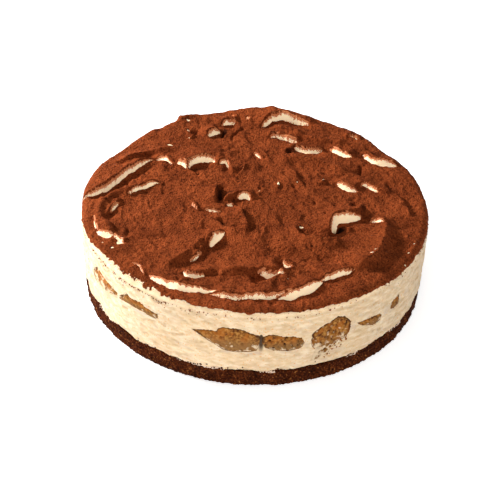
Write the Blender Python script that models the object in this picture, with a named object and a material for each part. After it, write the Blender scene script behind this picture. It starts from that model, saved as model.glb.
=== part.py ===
"""A round tiramisu cake: chocolate sponge, mascarpone cream, a layer of ladyfingers and a cocoa-dusted top.

Everything is worked out in millimetres and written to the meshes in metres. The cake stands on Z = 0 with its
axis on Z, and its front, where the ladyfingers show best, faces -Y.
"""

import math

import bmesh
import bpy
import numpy as np
from mathutils import Vector
from mathutils.geometry import delaunay_2d_cdt

MM = 0.001
GAP = 0.3

# The whole cake, in millimetres.
RADIUS = 100.0
RIM_RADIUS = 99.3
FOOT_RADIUS = 99.2
TOP_LEVEL = 52.5
SPONGE_HEIGHT = 10.6
COCOA_THICKNESS = 1.0

# The wall: a ring of points, and its heights between the sponge and the rim.
SEGMENTS = 96
WALL_BEND = 2.2
WALL_HEIGHTS = (41.0, 24.0)
ENVELOPE_TOP = 47.0
WALL_WAVE = 0.25
WALL_LOBES = (5, 3)
WALL_PHASE = 0.6
FOOT_TAPER = 25.0

# The sponge: how far its crumbly edge wanders, and the width of the band where it does.
SPONGE_EDGE_WAVE = 0.7
SPONGE_EDGE_LOBES = (9, 4)
SPONGE_EDGE_PHASE = 1.0
SPONGE_EDGE_BAND = 9.0
SPONGE_FOOT_ROUND = 0.5

# The top: how the surface rounds off at the rim, its swell, and how finely it is drawn before it is thinned.
SHOULDER_WIDTH = 5.0
SHOULDER_DROP = 2.3
SWELL = 0.35
SWELL_LENGTHS = (17.0, 21.0, 29.0)
SWELL_PHASES = (1.3, -0.4, 2.0)
SAMPLE_STEP = 1.6
SHEET_TRIANGLES = 3050
MERGE_DISTANCE = 1e-5
PATH_STEPS = 6
END_TAPER = 0.22

# A ledge's section: its narrowest steep face here, how far its back runs on, how sharply its crest turns, and
# the shallow trough at its foot, as a share of the drop and by its width.
NARROWEST_FACE = 1.8
BACK_REACH = 1.3
CREST_POWER = 1.6
HOLLOW_SHARE = 0.35
TROUGH_WIDTH = 5.0
TROUGH_FACES = 1.5

# Every stroke of the spatula leaves a ledge: the path of its crest, with the low side on the right of travel,
# then how far the crest stands up, the width of its steep face and the width of its gentle back.
LEDGES = {
    "front_left": (((-57, -69), (-47, -76.5), (-38, -80.5), (-18, -83)), 2.8, 2.4, 13),
    "front_middle": (((-24, -84), (-14, -86.5), (-3, -86.5), (9, -85), (21, -81.5)), 3.0, 1.6, 14),
    "front_right": (((13, -85), (22, -82), (30, -77.5), (36.5, -71.5)), 3.6, 3.0, 12),
    "front_far_right": (((34.5, -73), (41, -68), (48, -64.5), (56, -60.5)), 2.4, 1.8, 12),
    "right_valley": (
        ((51, -64), (61, -57), (68.5, -47), (72, -35), (74, -22), (73.5, -10)), 4.2, 6.0, 13,
    ),
    "left_long": (
        ((-104, -4.5), (-94, 1.5), (-87.5, 7.5), (-77, 22.5), (-66, 36), (-59, 39.5)), 3.4, 1.7, 14,
    ),
    "left_back_ridge": (
        ((-86, 35), (-79, 36.5), (-73, 41), (-65, 44.5), (-55, 46), (-46, 45.5)), 2.4, 2.6, 9,
    ),
    "left_shoulder": (((-62, 40), (-55, 39), (-48.5, 33.5)), 2.4, 1.6, 11),
    "left_notch": (((-48.5, 34.5), (-44, 32.5), (-39.5, 28.5)), 2.8, 1.6, 8),
    "arch": (
        ((-42, 26), (-40, 32.5), (-36, 37), (-30.5, 40), (-26.5, 40.5), (-23.5, 35.5)), 3.8, 2.0, 11,
    ),
    "arch_end": (
        ((-24, 31.5), (-22.5, 36.5), (-19, 39), (-16.5, 35.5), (-15, 29.5), (-13.5, 22.5)), 2.2, 1.5, 5,
    ),
    "left_crest": (((-76, -0.5), (-70.5, 5.5), (-65, 10), (-60, 13.5), (-54, 14.5)), 2.2, 1.7, 7),
    "roll_end": (
        ((-90, -21.5), (-88, -29.5), (-84, -35), (-79, -36.5), (-74.5, -40), (-70.5, -47.5)), 2.8, 1.5, 6,
    ),
    "back_left_low": (((-32.5, 66), (-28.5, 70), (-23.5, 73.5)), 3.4, 1.8, 8),
    "back_left_high": (((-24.5, 78.5), (-21, 82.5), (-17, 83.5), (-12, 82.5)), 3.0, 1.5, 8),
    "back_left_edge": (((-55, 96), (-51, 88), (-47, 80)), 2.2, 2.5, 14),
    "back_peak": (((-1, 77.5), (5, 84.5), (10, 88.5), (17, 89.5), (31, 85.5), (38, 83.5)), 4.4, 2.1, 7),
    "back_middle": (((4, 66.5), (10, 70.5), (16, 69), (28, 65.5)), 3.0, 1.6, 10),
    "back_hollow": (((16, 56.5), (24, 56.5), (30, 55), (42, 55.5)), 3.0, 1.8, 8),
    "back_right_streak": (((42, 60.5), (47, 56.5), (52, 52.5), (58.5, 49)), 3.0, 1.8, 9),
    "back_right_short": (((52.5, 70), (58, 71), (63.5, 68)), 1.8, 1.0, 6),
    "back_long_fold": (((5, 79), (18, 75), (28, 69), (38, 64.5), (48, 63), (64, 61)), 2.4, 3.4, 8),
    "right_back_patch": (((63.5, 56), (66.5, 50), (71, 45.5), (77, 44), (86, 43)), 3.6, 2.1, 9),
    "right_swell_edge": (((12, 43), (24, 43.5), (36, 40.5), (48, 35), (56, 30)), 2.4, 5.0, 10),
    "right_vee": (((46, 23), (51, 19), (55.5, 16.5), (60.5, 15.5)), 3.0, 2.0, 8),
    "right_arc": (((58.5, 18), (62.5, 22), (67, 19.5), (78.5, 10)), 2.0, 1.5, 7),
    "right_rim": (((88, -11.5), (87, -2.5), (84, 6.5), (79, 14.5)), 1.8, 1.2, 8),
    "right_curl": (((40.5, -34), (43.5, -18), (47, -13.5), (57, -11.5), (60, -6), (60, 2)), 4.8, 3.2, 9),
    "right_streak": (((63, -14), (67, -14.5), (70.5, -16), (74.5, -19)), 1.9, 1.5, 6),
    "centre_fold": (((-20, -4), (-14, 0), (-9, 3), (-4, 2.5), (-1, -2)), 3.2, 2.2, 6),
    "centre_fold_right": (((-2.5, -30.5), (-5.5, -19.5), (-10, -7.5)), 3.0, 1.4, 7),
    "centre_cliff": (((-22.5, -6), (-23, 2), (-22, 12)), 3.6, 1.2, 8),
    "left_plateau": (((-50, -66.5), (-38, -54.5), (-29, -42.5), (-22, -32.5)), 2.6, 5.0, 14),
    "left_plateau_tip": (((-27, -43.5), (-22.5, -37.5), (-16.5, -32)), 2.8, 2.8, 5),
    "crescent": (((-37, -64.5), (-35, -68.5), (-31, -69), (-25, -67.5), (-19, -65)), 2.8, 2.0, 5),
    "lower_middle": (((1, -66), (7, -66.5), (18.5, -67.5)), 2.2, 1.7, 6),
    "lower_lobe": (((24, -60), (15, -68), (8, -75), (1, -80)), 3.0, 3.0, 8),
    "middle_lobe": (((24, -60), (16, -55.5), (6, -48.5), (-4, -40), (-12, -32.5), (-19, -24)), 2.8, 4.0, 12),
    "lower_fold": (((-20, -66), (-8, -65.5), (6, -65.5), (18, -64)), 3.4, 4.6, 9),
    "bowl": (((52, -34.5), (40, -37.5), (31, -36.5), (24.5, -31.5), (22.5, -22.5)), 3.0, 2.5, 8),
}

# A soft roll of cream, and the grooves between strokes: path, height (a groove's is below 0) and half width.
ROLLS = {
    "left_roll": (((-64, 8), (-82, 0), (-88, -15), (-82, -31), (-75, -40)), 2.4, 4.2),
    "left_trough": (((-90, 1), (-79, 11), (-70, 22), (-62, 32)), -1.8, 4.5),
    "centre_groove": (((-21, -18), (-16, -25), (-11, -32)), -4.0, 2.8),
    "middle_valley": (((4, -41), (14, -47), (26, -51), (38, -54), (48, -52)), -2.4, 6.5),
    "right_groove": (((61.8, 41), (61.5, 29)), -2.0, 2.0),
    "back_groove": (((-8, 78), (-15, 69), (-15.5, 61)), -1.5, 2.0),
}

# Pits where strokes meet, a pulled-up tip, and where the rim swells or dips: centre, radii along X and Y, and
# height.
SPOTS = {
    "back_left_pit": ((-22, 70), (2.0, 6.0), -4.5),
    "back_left_dent": ((-38, 70), (4, 5), -2.5),
    "back_pit": ((20, 52), (5.0, 3.0), -2.5),
    "back_floor": ((0, 62), (10, 8), -1.5),
    "left_back_floor": ((-60, 62), (8, 6), -1.6),
    "arch_floor": ((-29, 31), (9, 5), -1.0),
    "centre_pit": ((-19.5, 3), (3.5, 4.5), -3.2),
    "centre_pit_back": ((-19.5, 11), (4.0, 2.5), -2.0),
    "roll_end_swell": ((-80, -30), (7, 6), 1.6),
    "curl_pit": ((46, -25.5), (3.2, 4.2), -6.0),
    "curl_swell": ((51, -7), (9, 8), 1.2),
    "bowl_floor": ((31, -30), (8, 5), -1.6),
    "right_dent": ((57.5, 0), (4, 4), -1.4),
    "right_back_dent": ((57, 66), (6, 4), -1.2),
    "tip": ((39, 20), (2.2, 2.2), 2.5),
    "rim_notch": ((-61, 79), (10, 9), -1.6),
    "back_swell": ((3, 97), (36, 24), 4.0),
    "back_rim_tip": ((9, 99), (9, 9), 1.4),
    "back_left_swell": ((-44, 90), (13, 13), 1.4),
    "left_back_dip": ((-82, 56), (36, 36), -3.6),
    "right_back_dip": ((80, 64), (26, 26), -2.4),
}

# The ladyfingers lie along Y, side by side. Each has its own outline where it shows in the front wall, as places
# (X and Z) in order round it. Further in, and at the back, each has the section of a whole finger.
FINGERS = (
    (
        (-88.5, 30.5), (-88, 35), (-85.5, 39.5), (-83, 39), (-80, 37.5), (-76.5, 37),
        (-73, 35.5), (-73, 32), (-77, 30), (-80, 29), (-83.5, 29), (-86.5, 28.5),
    ),
    (
        (-71.5, 35.5), (-70.5, 37), (-67, 40), (-64.5, 39), (-59.5, 39.5), (-55.5, 38.5), (-52, 37.5),
        (-50, 38), (-49.5, 35), (-51, 34), (-57.5, 34.5), (-62, 34.5), (-68.5, 34), (-71.5, 33.5),
    ),
    (
        (-31, 35.5), (-26, 36.5), (-20.5, 37.5), (-18, 37), (-17, 39.5), (-14.5, 41), (-10, 40.5), (-3.5, 40),
        (0, 38), (4.5, 36.5), (5, 31), (3.5, 26), (-2, 25), (-9.5, 25), (-14, 25.5), (-20.5, 29), (-26, 32.5),
    ),
    (
        (6.5, 31.5), (7, 35.5), (9.5, 37), (14, 36.5), (17.5, 35.5), (24, 34.5), (27.5, 33),
        (29, 29.5), (27.5, 26.5), (23.5, 25.5), (18, 25.5), (12.5, 26.5), (8, 28.5),
    ),
    (
        (32.5, 31), (33, 34.5), (37.5, 38.5), (42, 40.5), (46, 42.5), (50, 41.5), (53.5, 36), (53, 31),
        (51, 26), (47.5, 25.5), (44, 22.5), (41.5, 18.5), (38.5, 16.5), (36, 14.5), (33, 15),
        (34, 19), (35, 23), (33, 26),
    ),
    (
        (57, 33), (60, 32.5), (65, 32), (70, 31.5), (71, 29.5), (70, 26.5), (66.5, 26), (62.5, 28), (58.5, 31),
    ),
    ((76, 28.5), (76.5, 33), (78.5, 34.5), (80, 35), (81, 31.5), (80.5, 28.5), (78.5, 27.5)),
)
INNER_HALF_WIDTH = (6.5, 10.5, 12.5, 11.0, 9.5, 7.5, 3.2)
INNER_HALF_HEIGHT = 6.5
INNER_LEVEL = 34.5
INNER_POWER = 2.4
TUNNEL_OVERRUN = 3.0
SECTION_POINTS = 20
END_BAND = 6.0
TURN_BAND = 22.0

COLOURS = {
    "sponge": ((0.055, 0.022, 0.012), 0.9),
    "cream": ((0.86, 0.78, 0.60), 0.45),
    "ladyfinger": ((0.42, 0.20, 0.055), 0.7),
    "cocoa": ((0.13, 0.058, 0.026), 0.95),
}


def clear_scene():
    for thing in list(bpy.data.objects):
        bpy.data.objects.remove(thing, do_unlink=True)


def new_collection(name, hidden=False):
    collection = bpy.data.collections.new(name)
    collection.hide_render = hidden
    bpy.context.scene.collection.children.link(collection)
    return collection


def food_material(name):
    colour, roughness = COLOURS[name]
    material = bpy.data.materials.new(name)
    material.use_nodes = True
    shader = material.node_tree.nodes["Principled BSDF"]
    shader.inputs["Base Color"].default_value = (*colour, 1.0)
    shader.inputs["Roughness"].default_value = roughness
    shader.inputs["Metallic"].default_value = 0.0
    return material


def add_object(bm, name, collection, material=None):
    """Turns a bmesh drawn in millimetres into an object in metres, with its faces pointing out."""
    bmesh.ops.scale(bm, vec=Vector((MM, MM, MM)), verts=bm.verts)
    bmesh.ops.recalc_face_normals(bm, faces=bm.faces)
    mesh = bpy.data.meshes.new(name)
    bm.to_mesh(mesh)
    bm.free()
    thing = bpy.data.objects.new(name, mesh)
    collection.objects.link(thing)
    if material:
        mesh.materials.append(material)
    else:
        thing.hide_render = True
        thing.display_type = "WIRE"
    return thing


def smooth_step(t):
    t = np.clip(t, 0.0, 1.0)
    return t * t * (3.0 - 2.0 * t)


def smooth_path(points):
    """Points of a Catmull-Rom curve through the given ones."""
    through = np.array(points, float)
    before = 2 * through[0] - through[1]
    after = 2 * through[-1] - through[-2]
    p = np.vstack([before, through, after])
    t = np.linspace(0.0, 1.0, PATH_STEPS, endpoint=False)[:, None]
    runs = []
    for a, b, c, d in zip(p[:-3], p[1:-2], p[2:-1], p[3:]):
        run = 2 * b + (c - a) * t + (2 * a - 5 * b + 4 * c - d) * t**2 + (3 * b - a - 3 * c + d) * t**3
        runs.append(run / 2)
    runs.append(through[-1:])
    return np.vstack(runs)


def along_path(x, y, points):
    """Each place's distance to the path, plus on the left of travel, and how far along the path it lies."""
    path = smooth_path(points)
    start = path[:-1]
    step = np.diff(path, axis=0)
    length = np.hypot(step[:, 0], step[:, 1])
    before = np.cumsum(length) - length
    dx = x[:, None] - start[:, 0]
    dy = y[:, None] - start[:, 1]
    t = np.clip((dx * step[:, 0] + dy * step[:, 1]) / length**2, 0.0, 1.0)
    away = np.hypot(dx - t * step[:, 0], dy - t * step[:, 1])
    row = np.arange(len(x))
    near = away.argmin(axis=1)
    side = np.sign(step[near, 0] * dy[row, near] - step[near, 1] * dx[row, near])
    share = (before[near] + t[row, near] * length[near]) / length.sum()
    return away[row, near] * side, share


def tapered(share):
    return smooth_step(np.minimum(share, 1.0 - share) / END_TAPER)


def ledge_height(x, y, points, drop, face, back):
    """Height across a ledge: a gentle back, a steep face, and a shallow trough at its foot."""
    aside, share = along_path(x, y, points)
    face = max(face, NARROWEST_FACE)
    hollow = HOLLOW_SHARE * drop
    trough = TROUGH_WIDTH + TROUGH_FACES * face
    high_side = drop * np.clip(1.0 - aside / (BACK_REACH * back), 0.0, 1.0) ** CREST_POWER
    low_side = (drop + hollow) * np.clip(1.0 + aside / face, 0.0, 1.0) ** CREST_POWER - hollow
    foot = -hollow * (1.0 - smooth_step((-aside - face) / trough))
    section = np.where(aside >= 0, high_side, np.where(aside > -face, low_side, foot))
    return tapered(share) * section


def roll_height(x, y, points, height, half_width):
    aside, share = along_path(x, y, points)
    return height * tapered(share) * (1.0 - smooth_step(np.abs(aside) / half_width))


def spot_height(x, y, centre, radii, height):
    away = np.hypot((x - centre[0]) / radii[0], (y - centre[1]) / radii[1])
    return height * (1.0 - smooth_step(away))


def swell(x, y):
    """The top's slow waves, across, along and on the diagonal."""
    across = np.sin(x / SWELL_LENGTHS[0] + SWELL_PHASES[0])
    along = np.cos(y / SWELL_LENGTHS[1] + SWELL_PHASES[1])
    diagonal = np.sin((x + y) / SWELL_LENGTHS[2] + SWELL_PHASES[2])
    return SWELL * (across * along + diagonal)


def shoulder(x, y):
    """How far the top rounds down towards the rim."""
    inward = (RIM_RADIUS - np.hypot(x, y)) / SHOULDER_WIDTH
    return -SHOULDER_DROP * np.clip(1.0 - inward, 0.0, 1.0) ** 2


def top_height(x, y):
    """Height of the cake's top over the place (x, y)."""
    z = TOP_LEVEL + swell(x, y) + shoulder(x, y)
    for points, drop, face, back in LEDGES.values():
        z += ledge_height(x, y, points, drop, face, back)
    for points, height, half_width in ROLLS.values():
        z += roll_height(x, y, points, height, half_width)
    for centre, radii, height in SPOTS.values():
        z += spot_height(x, y, centre, radii, height)
    return z


def ring_angles():
    return np.arange(SEGMENTS) * 2 * math.pi / SEGMENTS


def wall_radius(angles, height):
    """Radius of the wall: drawn in a little at the foot, and slightly uneven round the cake."""
    low = 1.0 - smooth_step((height - SPONGE_HEIGHT) / FOOT_TAPER)
    even = RADIUS - WALL_WAVE - (RADIUS - FOOT_RADIUS) * low
    return even + WALL_WAVE * np.sin(WALL_LOBES[0] * angles + WALL_PHASE) * np.cos(WALL_LOBES[1] * angles)


def joint_height(angles):
    """Height of the sponge's crumbly top edge."""
    first, second = SPONGE_EDGE_LOBES
    wave = np.sin(first * angles) * np.cos(second * angles + SPONGE_EDGE_PHASE)
    return SPONGE_HEIGHT + SPONGE_EDGE_WAVE * wave


def add_ring(bm, radius, height):
    """A ring of vertices. The radius and the height are single values or one for each vertex."""
    angles = ring_angles()
    radii = radius * np.ones(SEGMENTS)
    heights = height * np.ones(SEGMENTS)
    places = zip(radii * np.cos(angles), radii * np.sin(angles), heights)
    return [bm.verts.new(place) for place in places]


def join_rings(bm, rings):
    for lower, upper in zip(rings[:-1], rings[1:]):
        for i in range(len(lower)):
            j = (i + 1) % len(lower)
            bm.faces.new((lower[i], lower[j], upper[j]))
            bm.faces.new((lower[i], upper[j], upper[i]))


def cap(bm, ring):
    face = bm.faces.new(ring)
    bmesh.ops.triangulate(bm, faces=[face])


def sample_places():
    """Places all over the top, in offset rows, with the rim's ring first."""
    angles = ring_angles()
    places = [Vector((RIM_RADIUS * math.cos(a), RIM_RADIUS * math.sin(a))) for a in angles]
    row_step = SAMPLE_STEP * math.sqrt(3) / 2
    rows = int(RIM_RADIUS / row_step)
    inside = RIM_RADIUS - SAMPLE_STEP
    for row in range(-rows, rows + 1):
        y = row * row_step
        offset = SAMPLE_STEP / 2 * (row % 2)
        half = int(RIM_RADIUS / SAMPLE_STEP)
        for column in range(-half, half + 1):
            x = column * SAMPLE_STEP + offset
            if math.hypot(x, y) < inside:
                places.append(Vector((x, y)))
    return places


def top_sheet():
    """The open surface of the top, thinned where it is flat, with its rim's ring kept whole."""
    places, _, faces, *_ = delaunay_2d_cdt(sample_places(), [], [list(range(SEGMENTS))], 1, MERGE_DISTANCE)
    flat = np.array([tuple(place) for place in places])
    points = np.column_stack([flat, top_height(flat[:, 0], flat[:, 1])])
    mesh = bpy.data.meshes.new("top_sheet")
    mesh.from_pydata(points.tolist(), [], [list(face) for face in faces])
    sheet = bpy.data.objects.new("top_sheet", mesh)
    bpy.context.scene.collection.objects.link(sheet)
    inner = np.nonzero(np.hypot(flat[:, 0], flat[:, 1]) < RIM_RADIUS - SAMPLE_STEP / 2)[0]
    group = sheet.vertex_groups.new(name="may_be_thinned")
    group.add(inner.tolist(), 1.0, "REPLACE")
    thin = sheet.modifiers.new("thin", "DECIMATE")
    thin.ratio = SHEET_TRIANGLES / len(mesh.polygons)
    thin.vertex_group = group.name
    thin.vertex_group_factor = 1000.0
    thin.use_collapse_triangulate = True
    graph = bpy.context.evaluated_depsgraph_get()
    thinned = bpy.data.meshes.new_from_object(sheet.evaluated_get(graph))
    bpy.data.objects.remove(sheet)
    return thinned


def sheet_copy(sheet, down):
    bm = bmesh.new()
    bm.from_mesh(sheet)
    bmesh.ops.translate(bm, vec=Vector((0, 0, -down)), verts=bm.verts)
    return bm


def rim_ring(bm):
    """The boundary's vertices, in order round the cake."""
    rim = [vertex for vertex in bm.verts if vertex.is_boundary]
    return sorted(rim, key=lambda vertex: math.atan2(vertex.co.y, vertex.co.x) % (2 * math.pi - 1e-6))


def build_cocoa(sheet, collection):
    """The dusting: the top's surface and the same surface lower down, joined at the rim."""
    bm = sheet_copy(sheet, 0.0)
    extruded = bmesh.ops.extrude_face_region(bm, geom=bm.faces[:], use_keep_orig=True)
    lower = [item for item in extruded["geom"] if isinstance(item, bmesh.types.BMVert)]
    bmesh.ops.translate(bm, vec=Vector((0, 0, -COCOA_THICKNESS)), verts=lower)
    return add_object(bm, "cocoa_top", collection, food_material("cocoa"))


def build_cream(sheet, collection, tunnels):
    """The cream body: the same top surface just under the cocoa, the wall, and the sponge's surface below."""
    bm = sheet_copy(sheet, COCOA_THICKNESS + GAP)
    rim = rim_ring(bm)
    angles = ring_angles()
    shoulder_heights = np.array([vertex.co.z for vertex in rim]) - WALL_BEND
    rings = [rim, add_ring(bm, wall_radius(angles, RADIUS), shoulder_heights)]
    for height in WALL_HEIGHTS:
        rings.append(add_ring(bm, wall_radius(angles, height), height))
    rings.append(add_ring(bm, wall_radius(angles, SPONGE_HEIGHT), joint_height(angles) + GAP))
    rings.append(add_ring(bm, FOOT_RADIUS - SPONGE_EDGE_BAND, SPONGE_HEIGHT + GAP))
    join_rings(bm, rings)
    cap(bm, rings[-1])
    cream = add_object(bm, "mascarpone_cream", collection, food_material("cream"))
    cut = cream.modifiers.new("tunnels", "BOOLEAN")
    cut.operation = "DIFFERENCE"
    cut.solver = "EXACT"
    cut.operand_type = "COLLECTION"
    cut.collection = tunnels
    return cream


def build_sponge(collection):
    bm = bmesh.new()
    angles = ring_angles()
    edge = wall_radius(angles, SPONGE_HEIGHT)
    rings = [
        add_ring(bm, edge - SPONGE_FOOT_ROUND, 0.0),
        add_ring(bm, edge, SPONGE_FOOT_ROUND),
        add_ring(bm, edge, joint_height(angles)),
        add_ring(bm, FOOT_RADIUS - SPONGE_EDGE_BAND, SPONGE_HEIGHT),
    ]
    join_rings(bm, rings)
    cap(bm, rings[0])
    cap(bm, rings[-1])
    return add_object(bm, "chocolate_sponge", collection, food_material("sponge"))


def power(value, exponent):
    return math.copysign(abs(value) ** exponent, value)


def outline_box(outline):
    """The middle and the half sizes of an outline."""
    x, z = zip(*outline)
    middle = ((max(x) + min(x)) / 2, (max(z) + min(z)) / 2)
    return middle, (max(x) - middle[0], max(z) - middle[1])


def outline_reach(outline, middle, heading):
    """How many times the heading leads from the middle to the outline."""
    reach = 0.0
    for (start_x, start_z), (end_x, end_z) in zip(outline, outline[1:] + outline[:1]):
        edge = (end_x - start_x, end_z - start_z)
        start = (start_x - middle[0], start_z - middle[1])
        turn = heading[0] * edge[1] - heading[1] * edge[0]
        if turn:
            steps = (start[0] * edge[1] - start[1] * edge[0]) / turn
            along = (start[0] * heading[1] - start[1] * heading[0]) / turn
            if 0.0 <= along <= 1.0:
                reach = max(reach, steps)
    return reach


def finger_sections(number, grow):
    """A ladyfinger's section at the front and further in, as (x, z) pairs, grown by a gap for its tunnel."""
    outline = FINGERS[number]
    middle, half = outline_box(outline)
    inner_half = INNER_HALF_WIDTH[number] + grow
    front = []
    inner = []
    for i in range(SECTION_POINTS):
        angle = 2 * math.pi * (i + 0.5) / SECTION_POINTS
        heading = (half[0] * math.cos(angle), half[1] * math.sin(angle))
        steps = outline_reach(outline, middle, heading)
        across = power(math.cos(angle), 2.0 / INNER_POWER)
        up = power(math.sin(angle), 2.0 / INNER_POWER)
        x = middle[0] + steps * heading[0] + grow * across
        z = middle[1] + steps * heading[1] + grow * up
        front.append((x, z))
        inner.append((middle[0] + inner_half * across, INNER_LEVEL + (INNER_HALF_HEIGHT + grow) * up))
    return front, inner


def finger_body(number, grow):
    """A ladyfinger, from its front outline to a whole finger's section, longer than the cake is wide."""
    far = max(abs(x) for x, z in FINGERS[number])
    reach = math.sqrt(RADIUS**2 - far**2)
    front, inner = finger_sections(number, grow)
    length = RADIUS + END_BAND + (TUNNEL_OVERRUN if grow else 0.0)
    stations = (
        (-length, front),
        (END_BAND - reach, front),
        (TURN_BAND - reach, inner),
        (length, inner),
    )
    bm = bmesh.new()
    rings = []
    for y, outline in stations:
        rings.append([bm.verts.new((x, y, z)) for x, z in outline])
    join_rings(bm, rings)
    cap(bm, rings[0])
    cap(bm, rings[-1])
    return bm


def build_envelope(collection):
    """The cake's wall as a plain drum, which trims the ladyfingers' ends flush."""
    bm = bmesh.new()
    angles = ring_angles()
    heights = (SPONGE_HEIGHT + SPONGE_EDGE_WAVE, *reversed(WALL_HEIGHTS), ENVELOPE_TOP)
    rings = [add_ring(bm, wall_radius(angles, height), height) for height in heights]
    join_rings(bm, rings)
    cap(bm, rings[0])
    cap(bm, rings[-1])
    return add_object(bm, "wall_envelope", collection)


def build_ladyfinger(number, collection, envelope, material):
    finger = add_object(finger_body(number, 0.0), f"ladyfinger_{number + 1}", collection, material)
    trim = finger.modifiers.new("trim", "BOOLEAN")
    trim.operation = "INTERSECT"
    trim.solver = "EXACT"
    trim.object = envelope
    return finger


def main():
    clear_scene()
    cake = new_collection("tiramisu")
    tunnels = new_collection("tunnels", hidden=True)
    guides = new_collection("guides", hidden=True)
    envelope = build_envelope(guides)
    finger_material = food_material("ladyfinger")
    for number in range(len(FINGERS)):
        add_object(finger_body(number, GAP), f"tunnel_{number + 1}", tunnels)
        build_ladyfinger(number, cake, envelope, finger_material)
    sheet = top_sheet()
    build_sponge(cake)
    build_cream(sheet, cake, tunnels)
    build_cocoa(sheet, cake)


main()
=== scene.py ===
"""Looks of the round tiramisu cake: cocoa-dusted swirls, cream wall, ladyfinger ends and crumbly sponge."""

import math
from itertools import combinations, product

import bpy
import numpy as np
from mathutils import Matrix, Vector


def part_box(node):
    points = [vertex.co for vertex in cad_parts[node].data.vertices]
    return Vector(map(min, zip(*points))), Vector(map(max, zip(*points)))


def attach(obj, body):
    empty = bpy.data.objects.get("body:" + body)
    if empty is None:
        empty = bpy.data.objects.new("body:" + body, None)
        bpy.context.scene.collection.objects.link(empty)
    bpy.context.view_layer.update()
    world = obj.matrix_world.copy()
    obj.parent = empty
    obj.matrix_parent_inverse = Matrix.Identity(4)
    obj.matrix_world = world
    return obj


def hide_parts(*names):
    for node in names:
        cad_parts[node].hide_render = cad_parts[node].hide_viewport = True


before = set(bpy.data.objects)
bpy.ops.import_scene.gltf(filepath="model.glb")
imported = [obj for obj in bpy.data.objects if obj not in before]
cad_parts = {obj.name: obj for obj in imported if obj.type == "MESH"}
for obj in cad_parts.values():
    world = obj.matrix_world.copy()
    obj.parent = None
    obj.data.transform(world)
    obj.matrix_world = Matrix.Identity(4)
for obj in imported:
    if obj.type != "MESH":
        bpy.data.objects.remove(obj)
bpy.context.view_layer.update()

MM = 0.001

# The whole cake, in millimetres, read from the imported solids.
foot_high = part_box("chocolate_sponge")[1]
cream_low, cream_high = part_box("mascarpone_cream")
cocoa_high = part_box("cocoa_top")[1]
WALL_RADIUS = cream_high.x / MM - 0.45
FOOT_RADIUS = foot_high.x / MM - 0.1
WIDEST = min(cream_high.x, -cream_low.x, cream_high.y, -cream_low.y) / MM - 0.05
HIGHEST = cocoa_high.z / MM - 0.05
TOP_LEVEL = 52.5
SPONGE_HEIGHT = 10.6

# How deep the cream lies below the cocoa's surface, and how much deeper where cocoa covers it.
COCOA_DEPTH = 0.35
CREAM_SINK = 0.7

# The cocoa skin: its thickness, and how far and how steeply it dips under a bare streak.
SKIN_DEPTH = 3.2
BARE_SINK = 1.5
BARE_SLOPE = 2.2

# How far the cocoa stops short of the wall's edge, by direction round the cake in degrees.
RIM_BARE = (
    (-180, 0.0), (-165, 0.3), (-145, 2.8), (-110, 2.8), (-85, 2.6), (-60, 1.8), (-42, 0.0), (180, 0.0),
)

# The rounded shoulder between the top and the wall, and how far the cocoa hangs below it.
SHOULDER = 4.5
FLAT_REACH = WALL_RADIUS - SHOULDER
ARC_LENGTH = SHOULDER * math.pi / 2
TOP_REACH = FLAT_REACH + ARC_LENGTH
SKIRT = 1.6

# How high the wall stands above the foot.
WALL_HEIGHT = 42.0

# How far in from the foot's edge the flat ends of the cream and of the sponge begin.
END_INSET = 9.0

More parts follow.
